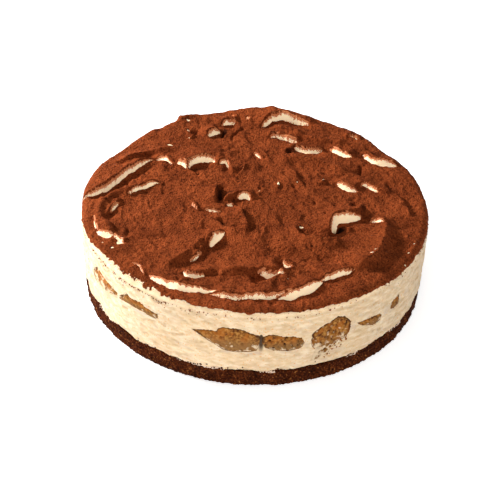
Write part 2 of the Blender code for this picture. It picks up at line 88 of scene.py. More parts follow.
# Every stroke of the spatula leaves a ledge: the path of its crest, X and Y in turn, with the low side on
# the right of travel, its height, the width of its steep face and of its gentle back, and between which
# shares of its length the face is bare cream.
LEDGES = (
    ((-66, -61, -61, -63, -59, -67.5, -57, -72.5), 1.0, 0.9, 5, (0.05, 0.95)),
    ((-57, -69, -47, -76.5, -38, -80.5, -18, -83), 2.8, 2.4, 13, (0.06, 1.0)),
    ((-24, -84, -14, -86.5, -3, -86.5, 9, -85, 21, -81.5), 3.0, 1.6, 14, (0.0, 1.0)),
    ((13, -85, 22, -82, 30, -77.5, 36.5, -71.5), 3.6, 3.0, 12, (0.0, 1.0)),
    ((34.5, -73, 41, -68, 48, -64.5, 56, -60.5), 2.4, 1.8, 12, (0.06, 0.93)),
    ((51, -64, 61, -57, 68.5, -47, 72, -35, 74, -22, 73.5, -10), 4.2, 6.0, 13, None),
    ((-104, -4.5, -94, 1.5, -87.5, 7.5, -77, 22.5, -66, 36, -59, 39.5), 3.4, 1.7, 14, (0.04, 1.0)),
    ((-62, 40, -55, 39, -48.5, 33.5), 2.4, 1.6, 11, (0.1, 0.95)),
    ((-48.5, 34.5, -44, 32.5, -39.5, 28.5), 2.8, 1.6, 8, (0.12, 0.95)),
    ((-42, 26, -40.5, 33, -36.5, 38.5, -30.5, 41.5, -26, 41, -23.5, 36), 3.8, 2.5, 11, (0.08, 1.0)),
    ((-24, 31.5, -22.5, 36.5, -19, 39, -16.5, 35.5, -15, 29.5, -13.5, 22.5), 2.2, 1.5, 5, (0.12, 0.66)),
    ((-76, -0.5, -70.5, 5.5, -65, 10, -60, 13.5, -54, 14.5), 2.2, 1.7, 7, (0.1, 0.95)),
    ((-84, -21, -82, -14, -79.5, -8, -75.5, -3.5), 2.2, 1.3, 4, (0.3, 0.82)),
    ((-90, -19.5, -88.5, -27, -86, -33), 1.8, 1.1, 5, (0.0, 1.0)),
    ((-87, -33, -83, -36, -77.5, -38.5), 2.8, 2.4, 6, (0.02, 0.98)),
    ((-78.5, -37.5, -73.5, -41, -70.5, -45), 2.0, 1.2, 5, (0.0, 1.0)),
    ((-55, 96, -51, 88, -47, 80), 2.2, 2.5, 14, None),
    ((-32.5, 66, -28.5, 70, -23.5, 73.5), 3.4, 1.8, 8, (0.1, 1.0)),
    ((-24.5, 78.5, -21, 82.5, -17, 83.5, -12, 82.5), 3.0, 1.5, 8, (0.1, 0.92)),
    ((-1, 77.5, 5, 84.5, 10, 88.5, 17, 89.5, 31, 85.5, 38, 83.5), 4.4, 2.1, 7, (0.06, 0.86)),
    ((4, 66.5, 10, 70.5, 16, 69, 28, 65.5), 3.0, 1.6, 10, (0.12, 0.88)),
    ((16, 56.5, 24, 56.5, 30, 55, 42, 55.5), 3.0, 1.8, 8, (0.22, 0.9)),
    ((42, 60.5, 47, 56.5, 52, 52.5, 58.5, 49), 3.0, 1.8, 9, (0.14, 0.97)),
    ((63.5, 56, 66.5, 50, 71, 45.5, 77, 44, 86, 43), 3.6, 2.1, 9, (0.08, 0.95)),
    ((52.5, 70, 58, 71, 63.5, 68), 1.8, 1.0, 6, (0.25, 0.85)),
    ((46, 23, 51, 19, 55.5, 16.5, 60.5, 15.5), 3.0, 2.0, 8, (0.12, 0.95)),
    ((58.5, 18, 62.5, 22, 67, 19.5, 78.5, 10), 2.0, 1.5, 7, (0.1, 0.7)),
    ((88, -11.5, 87, -2.5, 84, 6.5, 79, 14.5), 1.8, 1.2, 8, None),
    ((40.5, -34, 43.5, -18, 47, -13.5, 57, -11.5, 60, -6, 60, 2), 4.8, 3.2, 9, (0.12, 0.74)),
    ((63, -14, 67, -14.5, 70.5, -16, 74.5, -19), 1.9, 1.5, 6, (0.12, 0.88)),
    ((-20, -4, -14, 0, -9, 3, -4, 2.5, -1, -2), 3.2, 2.2, 6, (0.45, 0.92)),
    ((-17, -4, -14.5, -4.5, -12, -4), 1.7, 1.2, 3, (0.1, 0.9)),
    ((-31, -10.5, -26, -11.5, -22, -12, -18.5, -11.5), 1.5, 1.1, 5, (0.2, 0.95)),
    ((-36.5, -3.5, -35, -8, -31.5, -13), 1.3, 0.9, 4, (0.2, 0.92)),
    ((-2.5, -30.5, -5.5, -19.5, -10, -7.5), 3.0, 1.4, 7, None),
    ((-8, 38.5, -7.5, 33.5, -9.5, 26.5, -14.5, 15.5), 1.1, 0.7, 4, (0.15, 0.5)),
    ((-3.5, 51, 0, 49, 4, 43.5), 1.5, 1.1, 4, (0.12, 0.85)),
    ((-50, -66.5, -38, -54.5, -29, -42.5, -22, -32.5), 2.6, 5.0, 14, None),
    ((-37, -59, -31, -53, -25, -41.5, -18, -33.5), 2.0, 1.2, 4, (0.08, 0.4)),
    ((-27, -43.5, -22.5, -37.5, -16.5, -32), 2.8, 2.8, 5, (0.12, 0.92)),
    ((-37, -64.5, -35, -68.5, -31, -69, -25, -67.5, -19, -65), 2.8, 2.0, 5, (0.1, 0.68)),
    ((1, -66, 7, -66.5, 18.5, -67.5), 2.2, 1.7, 6, (0.08, 0.95)),
    ((16, -56, 18.5, -60, 22.5, -61.5), 1.7, 1.4, 4, (0.12, 0.9)),
    ((24, -60, 15, -68, 8, -75, 1, -80), 3.0, 3.0, 8, None),
    ((24, -60, 16, -55.5, 6, -48.5, -4, -40, -12, -32.5, -19, -24), 2.8, 4.0, 12, None),
    ((-20, -66, -8, -65.5, 6, -65.5, 18, -64), 3.4, 4.6, 9, None),
    ((52, -34.5, 40, -37.5, 31, -36.5, 24.5, -31.5, 22.5, -22.5), 3.0, 2.5, 8, None),
    ((-86, 35, -79, 36.5, -73, 41, -65, 44.5, -55, 46, -46, 45.5), 2.4, 2.6, 9, None),
    ((-22.5, -6, -23, 2, -22, 12), 3.6, 1.2, 8, None),
    ((-8, -38, -14, -30, -20.5, -20), 1.5, 1.5, 8, None),
    ((5, 79, 18, 75, 28, 69, 38, 64.5, 48, 63, 64, 61), 2.4, 3.4, 8, None),
    ((12, 43, 24, 43.5, 36, 40.5, 48, 35, 56, 30), 2.4, 5.0, 10, None),
    ((29.5, 11, 24.5, 24, 19, 36), 1.2, 1.2, 7, None),
    ((27, -24, 25.5, -18, 27.5, -10), 0.9, 1.5, 6, None),
)

# Soft rolls of cream, and grooves between strokes: path as above, height (a groove's is below 0), half width.
ROLLS = (
    ((-64, 8, -82, 0, -88, -15, -82, -31, -75, -40), 2.4, 4.2),
    ((-21, -18, -16, -25, -11, -32), -4.0, 2.8),
    ((-90, 1, -79, 11, -70, 22, -62, 32), -1.8, 4.5),
    ((-39, 31, -36, 27, -32.5, 22), -1.8, 2.0),
    ((4, -41, 14, -47, 26, -51, 38, -54, 48, -52), -2.4, 6.5),
    ((-54, 16, -55, 8, -54, 1), 0.7, 1.3),
    ((-62, -1, -61, -10, -57, -18), 0.8, 1.3),
    ((-30, -21, -30, -30), 0.7, 1.1),
    ((28, -40, 34, -46, 41, -52), 0.9, 1.5),
    ((35, 33, 36, 24, 38, 17), 0.9, 1.8),
    ((13, 19, 13, 12), 0.9, 1.0),
    ((-44, 62, -41, 62, -38.5, 67), 1.2, 1.3),
    ((61.8, 41, 61.5, 29), -2.0, 1.2),
    ((-8, 78, -15, 69, -15.5, 61), -1.5, 1.5),
    ((28, -42, 33, -46), -1.5, 1.2),
)

# Pits, a pulled-up tip, and where the rim swells or dips: centre, radii along X and Y, height.
SPOTS = (
    ((-22, 70), (2.0, 6.0), -4.5), ((20, 52), (5.0, 3.0), -2.5), ((45.5, -24.5), (3.4, 4.4), -7.5),
    ((-80, -30), (7, 6), 1.6), ((-61, 79), (10, 9), -1.6), ((-19.5, 3), (3.5, 4.5), -3.2),
    ((-19.5, 11), (4.0, 2.5), -2.0), ((-60, 62), (8, 6), -1.6), ((-38, 70), (4, 5), -2.5),
    ((0, 62), (10, 8), -1.5), ((-29, 31), (9, 5), -1.0), ((-70, -36), (2.5, 7.0), -1.5),
    ((31, -30), (8, 5), -1.6), ((51, -7), (9, 8), 1.2), ((57, 66), (6, 4), -1.2),
    ((42, 21), (2.0, 3.2), -2.2), ((22, 15), (1.8, 3.0), -1.5), ((2.2, 10.5), (1.3, 1.6), -1.6),
    ((34, 0), (1.3, 3.5), -1.3), ((40, -10.5), (1.2, 2.8), -1.3), ((57.5, 0), (4, 4), -1.4),
    ((39, 20), (2.2, 2.2), 2.5), ((3, 97), (36, 24), 4.0), ((9, 99), (9, 9), 1.4),
    ((-44, 90), (13, 13), 1.4), ((-82, 56), (36, 36), -3.6), ((80, 64), (26, 26), -2.4),
)

# The seam where two ladyfingers' ends meet, sunk into the wall and darkened with painted shade: its middle (X
# and Z), radii and depth.
SEAM = ((5.8, 31.5), (1.6, 6.0), 2.2)

# Small places where the cocoa has come off: centre and radius.
FLECKS = (
    (64, -51, 1.6), (66.5, -47, 0.8), (57, -58, 0.5), (26, -25, 1.0), (38, -38, 0.6), (-53, 53, 1.8),
    (-43, 82, 1.2), (-43, 71, 0.8), (-42, 62, 0.6), (-56, 48, 0.7), (13, 16, 0.9), (24, 19, 0.5),
    (2, 7.5, 1.0), (-73.5, -43, 2.4), (-79, -38.5, 1.2), (-16, 89, 1.2), (-7, 86, 1.6), (61, 31, 0.8),
    (-83, -44, 0.7), (-77, -49, 0.9), (-82, -56, 0.8), (89, -35, 0.6), (85, -43, 0.9), (83, -53, 0.5),
    (19, -72.5, 0.5), (39, 20.5, 1.2),
)

# Deep pits and folds where the cocoa is darkened with painted shade: centre, radii along X and Y, and how
# dark.
SHADED_PITS = (
    ((48.4, -24.0), (3.4, 4.4), 1.0), ((-20.5, 5.0), (2.2, 8.0), 0.9), ((-15.0, 4.5), (3.4, 2.4), 0.7),
    ((-17.5, -24.5), (2.2, 4.2), 0.8), ((-6.0, -15.0), (1.6, 7.0), 0.5), ((-20.5, 71.5), (2.6, 5.0), 0.9),
    ((20.5, 54.0), (5.0, 3.0), 0.75), ((-35.5, 28.5), (4.6, 3.4), 0.45), ((61.5, -2.0), (2.0, 6.0), 0.6),
)

# Steps between two points of a path, a stroke's tapering share, and the depth of a trough per ledge height.
PATH_STEPS = 8
END_TAPER = 0.22
HOLLOW_SHARE = 0.35

# Ladyfinger rows along Y: the outline in the front wall, X and Z in turn, in order round it.
FINGERS = (
    (
        -88.5, 30.5, -88, 35, -85.5, 39.5, -83, 39, -80, 37.5, -76.5, 37, -73, 35.5, -73, 32, -77, 30,
        -80, 29, -83.5, 29, -86.5, 28.5,
    ),
    (
        -71.5, 35.5, -70.5, 37, -67, 40, -64.5, 39, -59.5, 39.5, -55.5, 38.5, -52, 37.5, -50, 38,
        -49.5, 35, -51, 34, -57.5, 34.5, -62, 34.5, -68.5, 34, -71.5, 33.5,
    ),
    (
        -31, 35.5, -26, 36.5, -20.5, 37.5, -18, 37, -17, 39.5, -14.5, 41, -10, 40.5, -3.5, 40, 0, 38,
        4.5, 36.5, 5, 31, 3.5, 26, -2, 25, -9.5, 25, -14, 25.5, -20.5, 29, -26, 32.5,
    ),
    (
        6.5, 31.5, 7, 35.5, 9.5, 37, 14, 36.5, 17.5, 35.5, 24, 34.5, 27.5, 33, 29, 29.5, 27.5, 26.5,
        23.5, 25.5, 18, 25.5, 12.5, 26.5, 8, 28.5,
    ),
    (
        32.5, 31, 33, 34.5, 37.5, 38.5, 42, 40.5, 46, 42.5, 50, 41.5, 53.5, 36, 53, 31, 51, 26, 47.5, 25.5,
        44, 22.5, 41.5, 18.5, 38.5, 16.5, 36, 14.5, 33, 15, 34, 19, 35, 23, 33, 26,
    ),
    (57, 33, 60, 32.5, 65, 32, 70, 31.5, 71, 29.5, 70, 26.5, 66.5, 26, 62.5, 28, 58.5, 31),
    (76, 28.5, 76.5, 33, 78.5, 34.5, 80, 35, 81, 31.5, 80.5, 28.5, 78.5, 27.5),
)

# The same rows inside and at the back, and how far in from the wall the outline stays and then has changed.
INNER_HALF_WIDTH = (6.5, 10.5, 12.5, 11.0, 9.5, 7.5, 3.2)
INNER_HALF_HEIGHT = 6.5
INNER_LEVEL = 34.5
INNER_POWER = 2.4
INNER_POINTS = 48
END_BAND = 6.0
TURN_BAND = 22.0
FINGER_POINTS = 160

# How much cream is smeared over each ladyfinger's end, how much more over its lower part, and how deep its
# pores are.
FILM = (0.40, 0.28, 0.22, 0.22, 0.38, 0.26, 0.30)
LOWER_FILM = (0.30, 0.25, 0.28, 0.25, 0.34, 0.20, 0.10)
PORES = (0.5, 0.9, 0.9, 2.2, 1.4, 0.9, 0.8)

# Thin greyish films of cream and coffee on the wall: middle (X and Z) and radii.
SMEARS = (
    ((-77.5, 39.5), (4.5, 1.8)), ((-79.5, 27.5), (5.5, 2.2)), ((-70, 32.5), (4.5, 1.6)),
    ((-60, 33), (7.5, 1.4)), ((2, 24.5), (6.5, 1.8)), ((-10, 24), (7, 1.4)), ((21, 24.5), (7, 1.6)),
    ((29.8, 28.5), (1.8, 3.2)), ((55, 31.5), (2.4, 5.0)), ((46, 19.5), (5.0, 3.6)),
    ((40, 14), (4.0, 2.0)), ((73.3, 30), (2.6, 3.6)), ((84.5, 32), (2.2, 3.4)),
)

# How finely the top, the wall, the drum that trims the ladyfingers and the foot are divided.
GRID = 300
WALL_ROWS = 56
WALL_COLUMNS = 4 * GRID
CREAM_FACES = 190000
DRUM_ROWS = 64
DRUM_LOW = 11.0
DRUM_HIGH = 47.0
FOOT_ROWS = 26

# How many loose bits lie on the joint, under the whole rim, under its bare part and below the ladyfingers.
JOINT_CRUMBS = 420
RIM_FLAKES = 260
MORE_FLAKES = 90
BISCUIT_CRUMBS = 36

# The camera: angles in degrees, distance in metres, sensor and lens in millimetres.
CAMERA_ELEVATION = 38.384
CAMERA_DISTANCE = 0.8198
CAMERA_ROLL = 2.198
SENSOR_WIDTH = 36.0
FOCAL_LENGTH = 1372.7 / 500 * SENSOR_WIDTH
CAMERA_SHIFT = (-0.0055, 0.0455)

# Soft lights: name, place and size in metres, and power.
LIGHTS = (
    ("key", (-0.85, 0.35, 0.5), 0.15, 19.0),
    ("front_fill", (-0.1, -1.4, 0.35), 0.7, 7.0),
)
STUDIO_GLOW = 0.40
FLOOR_GLOW = 0.65
FLOOR_HALF_SIDE = 6000.0
FLOOR_GAP = 0.05


def rise(t):
    """A smooth step from 0 up to 1 while t runs from 0 to 1."""
    t = np.clip(t, 0.0, 1.0)
    return t * t * (3.0 - 2.0 * t)


def fall(t):
    return 1.0 - rise(t)


def hashed(i, j, k, seed):
    """A steady random number between 0 and 1 for each whole-number place."""
    h = i * 73856093 ^ j * 19349663 ^ k * 83492791 ^ (seed * 2654435761)
    h = (h ^ (h >> 13)) * 1274126177 & 0xFFFFFFFF
    h = (h ^ (h >> 16)) * 2246822519 & 0xFFFFFFFF
    return ((h ^ (h >> 15)) & 0xFFFFFF) / 0xFFFFFF


def noise(x, y, z, size, seed):
    """Smooth noise between -1 and 1 with lumps of this size, one size for all axes or one for each."""
    sizes = size if isinstance(size, tuple) else (size, size, size)
    corner = []
    part = []
    for place, step in zip((x, y, z), sizes):
        scaled = np.asarray(place / step + 1000.37, float)
        whole = np.floor(scaled)
        corner.append(whole.astype(np.int64))
        part.append(rise(scaled - whole))
    total = 0.0
    for di, dj, dk in product((0, 1), repeat=3):
        weight = np.abs(1 - di - part[0]) * np.abs(1 - dj - part[1]) * np.abs(1 - dk - part[2])
        total = total + weight * hashed(corner[0] + di, corner[1] + dj, corner[2] + dk, seed)
    return 2.0 * total - 1.0


def cells(x, y, z, size, seed):
    """Distance to the nearest and to the second nearest of scattered seeds, in shares of the cell size."""
    base = [np.floor(place / size + 1000.0).astype(np.int64) for place in (x, y, z)]
    spot = [place / size + 1000.0 for place in (x, y, z)]
    first = np.full(len(x), 9.0)
    second = np.full(len(x), 9.0)
    for di, dj, dk in product((-1, 0, 1), repeat=3):
        i, j, k = base[0] + di, base[1] + dj, base[2] + dk
        away = np.sqrt(
            (i + hashed(i, j, k, seed) - spot[0]) ** 2
            + (j + hashed(i, j, k, seed + 1) - spot[1]) ** 2
            + (k + hashed(i, j, k, seed + 2) - spot[2]) ** 2
        )
        second = np.minimum(second, np.maximum(first, away))
        first = np.minimum(first, away)
    return first, second


def shares_away(x, y, centre, radii):
    """How far places lie from a centre, in shares of the radii."""
    return np.hypot((x - centre[0]) / radii[0], (y - centre[1]) / radii[1])


def smooth_path(points):
    """Points of a Catmull-Rom curve through the given ones."""
    through = np.array(points, float).reshape(-1, 2)
    before = 2 * through[0] - through[1]
    after = 2 * through[-1] - through[-2]
    p = np.vstack([before, through, after])
    t = np.linspace(0.0, 1.0, PATH_STEPS, endpoint=False)[:, None]
    runs = []
    for a, b, c, d in zip(p[:-3], p[1:-2], p[2:-1], p[3:]):
        run = 2 * b + (c - a) * t + (2 * a - 5 * b + 4 * c - d) * t**2 + (3 * b - a - 3 * c + d) * t**3
        runs.append(run / 2)
    runs.append(through[-1:])
    return np.vstack(runs)


def near_path(x, y, points, margin):
    """Which places lie near a path and, for them, the distance (plus on the left), share and length run."""
    path = smooth_path(points)
    low = path.min(axis=0) - margin
    high = path.max(axis=0) + margin
    near = np.nonzero((x > low[0]) & (x < high[0]) & (y > low[1]) & (y < high[1]))[0]
    start = path[:-1]
    step = np.diff(path, axis=0)
    length = np.hypot(step[:, 0], step[:, 1])
    before = np.cumsum(length) - length
    dx = x[near, None] - start[:, 0]
    dy = y[near, None] - start[:, 1]
    t = np.clip((dx * step[:, 0] + dy * step[:, 1]) / length**2, 0.0, 1.0)
    away = np.hypot(dx - t * step[:, 0], dy - t * step[:, 1])
    row = np.arange(len(near))
    k = away.argmin(axis=1)
    side = np.sign(step[k, 0] * dy[row, k] - step[k, 1] * dx[row, k])
    run = before[k] + t[row, k] * length[k]
    return near, away[row, k] * side, run / length.sum(), length.sum()


def tapered(share):
    return rise(np.minimum(share, 1.0 - share) / END_TAPER)


def ledge_profile(aside, drop, face, back):
    """Height across a ledge: a gentle back, a steep face, and a shallow trough at its foot."""
    trough = 5.0 + 1.5 * face
    hollow = HOLLOW_SHARE * drop
    high_side = drop * np.clip(1.0 - aside / (1.3 * back), 0.0, 1.0) ** 1.6
    low_side = (drop + hollow) * np.clip(1.0 + aside / face, 0.0, 1.0) ** 1.6 - hollow
    foot = -hollow * fall((-aside - face) / trough)
    return np.where(aside >= 0, high_side, np.where(aside > -face, low_side, foot))


def bare_depth(x, y, aside, share, total, face, bare, seed):
    """How far inside the bare band a place is, and how far below its upper edge, in millimetres."""
    run = share * total
    t = np.clip((share - bare[0]) / (bare[1] - bare[0]), 0.0, 1.0)
    lens = (4.0 * t * (1.0 - t)) ** 0.35
    flat = 0 * run
    half = 0.56 * face * lens * (1.0 + 0.22 * noise(run, flat, flat, 5.0, seed))
    middle = -(0.52 + 0.10 * noise(run, flat, flat, 9.0, seed + 1)) * face
    from_middle = aside - middle
    teeth = 0.5 + 0.5 * noise(run, aside, flat, (0.9, 2.5, 1.0), seed + 2)
    depth_of_teeth = min(0.35 * face**0.5, 0.24 * face)
    upper = half - from_middle - depth_of_teeth * teeth
    lower = half + from_middle - 0.5 * depth_of_teeth * teeth
    outside = np.minimum(share - bare[0], bare[1] - share) * total
    return np.minimum(np.minimum(upper, lower), outside), upper


def wrinkles(x, y):
    """Soft creases all over, left where small strokes crossed."""
    flat = 0 * x
    warp_x = x + 6.0 * noise(x, y, flat, 15.0, 40)
    warp_y = y + 6.0 * noise(x, y, flat, 15.0, 41)
    broad = 1.0 - 2.0 * np.abs(noise(warp_x, warp_y, flat, 13.0, 42))
    fine = 1.0 - 2.0 * np.abs(noise(warp_x, warp_y, flat, 6.0, 43))
    rough = 0.5 + 0.5 * noise(x, y, flat, 22.0, 44)
    terrace = (warp_x + 0.6 * warp_y + 9.0 * noise(x, y, flat, 30.0, 47)) / 11.0
    step = terrace - np.floor(terrace)
    step = np.where(step < 0.85, step / 0.85, (1.0 - step) / 0.15)
    folds = rise(0.6 + 1.6 * noise(x, y, flat, 17.0, 48)) * step
    small = 0.24 * noise(x, y, flat, 2.1, 45) + 0.34 * noise(x, y, flat, 3.8, 49)
    swell = 0.8 * noise(x, y, flat, 26.0, 46)
    return swell + 0.5 * broad + 0.6 * folds + (0.30 + 0.65 * rough) * fine + small


def top_fields(x, y):
    """Height of the top over each place, before the shoulder, how far inside a bare patch the place is, and
    how far below the patch's upper edge."""
    z = np.full(len(x), TOP_LEVEL)
    z += 0.35 * (np.sin(x / 17 + 1.3) * np.cos(y / 21 - 0.4) + np.sin((x + y) / 29 + 2.0))
    bare = np.full(len(x), -9.0)
    below_edge = np.full(len(x), 9.0)
    for number, (points, drop, face, back, window) in enumerate(LEDGES):
        near, aside, share, total = near_path(x, y, points, max(1.3 * back, 5.0 + 2.5 * face))
        z[near] += tapered(share) * ledge_profile(aside, drop, face, back)
        if window:
            depth, upper = bare_depth(x[near], y[near], aside, share, total, face, window, 10 * number)
            below_edge[near] = np.where(depth > bare[near], upper, below_edge[near])
            bare[near] = np.maximum(bare[near], depth)
    for points, height, half_width in ROLLS:
        near, aside, share, total = near_path(x, y, points, half_width)
        z[near] += height * tapered(share) * fall(np.abs(aside) / half_width)
    for centre, radii, height in SPOTS:
        z += height * fall(shares_away(x, y, centre, radii))
    for fleck_x, fleck_y, radius in FLECKS:
        away = np.hypot(x - fleck_x, y - fleck_y)
        close = away < 3 * radius
        ragged = 0.6 * radius * noise(x[close], y[close], 0 * x[close], 1.1, 7)
        bare[close] = np.maximum(bare[close], radius * 0.8 - away[close] + ragged)
    calm = rise((WALL_RADIUS - np.hypot(x, y)) / 12.0)
    return z + wrinkles(x, y) * (0.6 + 0.4 * calm), bare, below_edge


def disc_grid(side_cells, reach):
    """A square grid bent into a disc: its places, its quads and its rim in order round the cake."""
    a = np.linspace(-1.0, 1.0, side_cells + 1)
    u, v = (side.ravel() for side in np.meshgrid(a, a, indexing="ij"))
    wide = np.abs(u) >= np.abs(v)
    radius = np.where(wide, u, v)
    safe = np.where(np.abs(radius) < 1e-9, 1.0, radius)
    turn = np.where(wide, v / safe * math.pi / 4, math.pi / 2 - u / safe * math.pi / 4)
    x = radius * np.cos(turn) * reach
    y = radius * np.sin(turn) * reach
    number = np.arange((side_cells + 1) ** 2).reshape(side_cells + 1, side_cells + 1)
    corners = (number[:-1, :-1], number[1:, :-1], number[1:, 1:], number[:-1, 1:])
    quads = np.stack([corner.ravel() for corner in corners], axis=1)
    rim = np.unique(np.concatenate([number[0], number[-1], number[:, 0], number[:, -1]]))
    rim = rim[np.argsort(np.arctan2(y[rim], x[rim]))]
    return x, y, quads, rim


def over_shoulder(x, y):
    """Bends a flat disc over the shoulder: the true X and Y, the drop, and the turn of the surface."""
    reach = np.hypot(x, y)
    turn = np.clip((reach - FLAT_REACH) / SHOULDER, 0.0, math.pi / 2)
    beyond = np.maximum(reach - FLAT_REACH - ARC_LENGTH, 0.0)
    radius = np.minimum(reach, FLAT_REACH) + SHOULDER * np.sin(turn)
    drop = SHOULDER * (1.0 - np.cos(turn)) + beyond
    scale = radius / np.maximum(reach, 1e-9)
    return x * scale, y * scale, drop, turn


def moved_in(x, y, z, turn, depth):
    """Places moved into the cake along the shoulder's normal."""
    reach = np.maximum(np.hypot(x, y), 1e-9)
    inward = 1.0 - depth * np.sin(turn) / reach
    return x * inward, y * inward, z - depth * np.cos(turn)


def mesh_object(name, points, faces, material):
    mesh = bpy.data.meshes.new(name)
    mesh.from_pydata(np.vstack(points) * MM, [], [list(face) for face in faces])
    mesh.materials.append(material)
    mesh.shade_smooth()
    thing = bpy.data.objects.new(name, mesh)
    bpy.context.scene.collection.objects.link(thing)
    return thing


def places_of(thing):
    """The vertices of an object, in millimetres, as three arrays."""
    flat = np.empty(3 * len(thing.data.vertices), np.float32)
    thing.data.vertices.foreach_get("co", flat)
    return flat.reshape(-1, 3).astype(float).T / MM


def apply_modifiers(thing):
    graph = bpy.context.evaluated_depsgraph_get()
    mesh = bpy.data.meshes.new_from_object(thing.evaluated_get(graph))
    thing.modifiers.clear()
    thing.data = mesh
    mesh.shade_smooth()


def mark(thing, name, values):
    """Gives every vertex a named value for the material."""
    attribute = thing.data.attributes.new(name, "FLOAT", "POINT")
    attribute.data.foreach_set("value", np.asarray(values, np.float32))


def compass():
    """Cosine and sine of every direction round the wall."""
    turn = 2 * math.pi * np.arange(WALL_COLUMNS) / WALL_COLUMNS
    return np.cos(turn), np.sin(turn)


def around(radius, cosine, sine, height):
    """Places round the cake, as rows of X, Y and Z."""
    return np.column_stack([radius * cosine, radius * sine, height + 0 * cosine])


def ring_block(first, second):
    """Quads between two rings of vertex numbers that run the same way round."""
    return np.stack([first, second, np.roll(second, -1), np.roll(first, -1)], axis=1)


def drum(name, rings, material):
    """A closed body from rings of places, the lowest first, with a flat face at each end."""
    order = np.arange(WALL_COLUMNS)
    faces = []
    for row in range(1, len(rings)):
        upper = order + row * WALL_COLUMNS
        faces += ring_block(upper, upper - WALL_COLUMNS).tolist()
    faces.append(order[::-1].tolist())
    faces.append((order + (len(rings) - 1) * WALL_COLUMNS).tolist())
    return mesh_object(name, rings, faces, material)


def outline_shape(outline):
    """An outline's middle and half sizes, and how far out it lies by direction, in shares of these."""
    corners = np.array(outline, float).reshape(-1, 2)
    low, high = corners.min(axis=0), corners.max(axis=0)
    middle, half = (low + high) / 2, (high - low) / 2
    share = np.linspace(0.0, 1.0, 24, endpoint=False)[:, None]
    edges = [start + (end - start) * share for start, end in zip(corners, np.roll(corners, -1, axis=0))]
    across, up = ((np.vstack(edges) - middle) / half).T
    turn = np.arctan2(up, across)
    order = np.argsort(turn)
    return middle, half, turn[order], np.hypot(across, up)[order]


def inner_outline(number):
    """The section of a whole ladyfinger, over the middle of its front outline."""
    middle = outline_shape(FINGERS[number])[0]
    turn = np.linspace(0.0, 2 * math.pi, INNER_POINTS, endpoint=False)
    across = np.sign(np.cos(turn)) * np.abs(np.cos(turn)) ** (2.0 / INNER_POWER)
    up = np.sign(np.sin(turn)) * np.abs(np.sin(turn)) ** (2.0 / INNER_POWER)
    x = middle[0] + INNER_HALF_WIDTH[number] * across
    return np.column_stack([x, INNER_LEVEL + INNER_HALF_HEIGHT * up])


def finger_shapes(number):
    return outline_shape(FINGERS[number]), outline_shape(inner_outline(number))


def finger_value(x, z, shape):
    """Below 1 inside a finger's outline, above 1 outside it."""
    middle, half, turns, reaches = shape
    across = (x - middle[0]) / half[0]
    up = (z - middle[1]) / half[1]
    return np.hypot(across, up) / np.interp(np.arctan2(up, across), turns, reaches, period=2 * math.pi)


def end_value(number, x, y, z):
    """A finger's value at places of the wall, in front or at the back."""
    front, inner = finger_shapes(number)
    return np.where(y < 0, finger_value(x, z, front), finger_value(x, z, inner))


def nearest_finger(x, y, z):
    """The smallest finger value at each place of the wall, and that finger's number."""
    values = np.array([end_value(number, x, y, z) for number in range(len(FINGERS))])
    return values.min(axis=0), values.argmin(axis=0)


def finger_section(shape, grow, ragged, seed):
    """Points round a finger's outline, made uneven, as X and Z arrays."""
    middle, half, turns, reaches = shape
    angle = 2 * math.pi * (np.arange(FINGER_POINTS) + 0.5) / FINGER_POINTS
    cosine, sine = np.cos(angle), np.sin(angle)
    reach = np.interp(angle, turns, reaches, period=2 * math.pi)
    wave = noise(3 * cosine, 3 * sine, 0 * angle, 1.0, seed)
    wave += 0.6 * noise(9 * cosine, 9 * sine, 0 * angle, 1.0, seed + 1)
    wave += (0.5 + 0.5 * (sine > 0)) * noise(22 * cosine, 22 * sine, 0 * angle, 1.0, seed + 2)
    out = grow + ragged * wave
    return middle[0] + (half[0] * reach + out) * cosine, middle[1] + (half[1] * reach + out) * sine


def finger_body(number, name, grow, material):
    front, inner = finger_shapes(number)
    far = max(abs(x) for x in FINGERS[number][::2])
    reach = math.sqrt(WALL_RADIUS**2 - far**2)
    length = WALL_RADIUS + END_BAND + 10 * grow
    rings = []
    stations = (
        (-length, front, 0.5),
        (END_BAND - reach, front, 0.5),
        (TURN_BAND - reach, inner, 0.3),
        (length, inner, 0.3),
    )
    for y, shape, ragged in stations:
        x, z = finger_section(shape, grow, ragged, 60 + number)
        rings.append(np.column_stack([x, np.full(FINGER_POINTS, y), z]))
    order = np.arange(FINGER_POINTS)
    faces = []
    for row in range(len(stations) - 1):
        lower = order + row * FINGER_POINTS
        faces += ring_block(lower, lower + FINGER_POINTS).tolist()
    faces.append(order.tolist())
    faces.append((order[::-1] + (len(stations) - 1) * FINGER_POINTS).tolist())
    return mesh_object(name, rings, faces, material)


def cut(thing, other, operation):
    """Cuts or trims an object by another."""
    modifier = thing.modifiers.new(operation.lower(), "BOOLEAN")
    modifier.operation = operation
    modifier.solver = "MANIFOLD"
    modifier.object = other
    apply_modifiers(thing)


def node_material(name, roughness, specular):
    """A material with its nodes, links and main shader."""
    material = bpy.data.materials.new(name)
    material.use_nodes = True
    tree = material.node_tree
    shader = tree.nodes["Principled BSDF"]
    shader.inputs["Roughness"].default_value = roughness
    shader.inputs["Specular IOR Level"].default_value = specular
    return material, tree, shader


def add_noise(tree, size, detail=2.0, stretch=(1.0, 1.0, 1.0)):
    """A noise with lumps of about this many millimetres, from 0 to 1."""
    coordinates = tree.nodes.new("ShaderNodeTexCoord")
    mapping = tree.nodes.new("ShaderNodeMapping")
    mapping.inputs["Scale"].default_value = [1.0 / (MM * size * s) for s in stretch]
    texture = tree.nodes.new("ShaderNodeTexNoise")
    texture.inputs["Scale"].default_value = 1.0
    texture.inputs["Detail"].default_value = detail
    tree.links.new(coordinates.outputs["Object"], mapping.inputs["Vector"])
    tree.links.new(mapping.outputs["Vector"], texture.inputs["Vector"])
    return texture.outputs["Fac"]


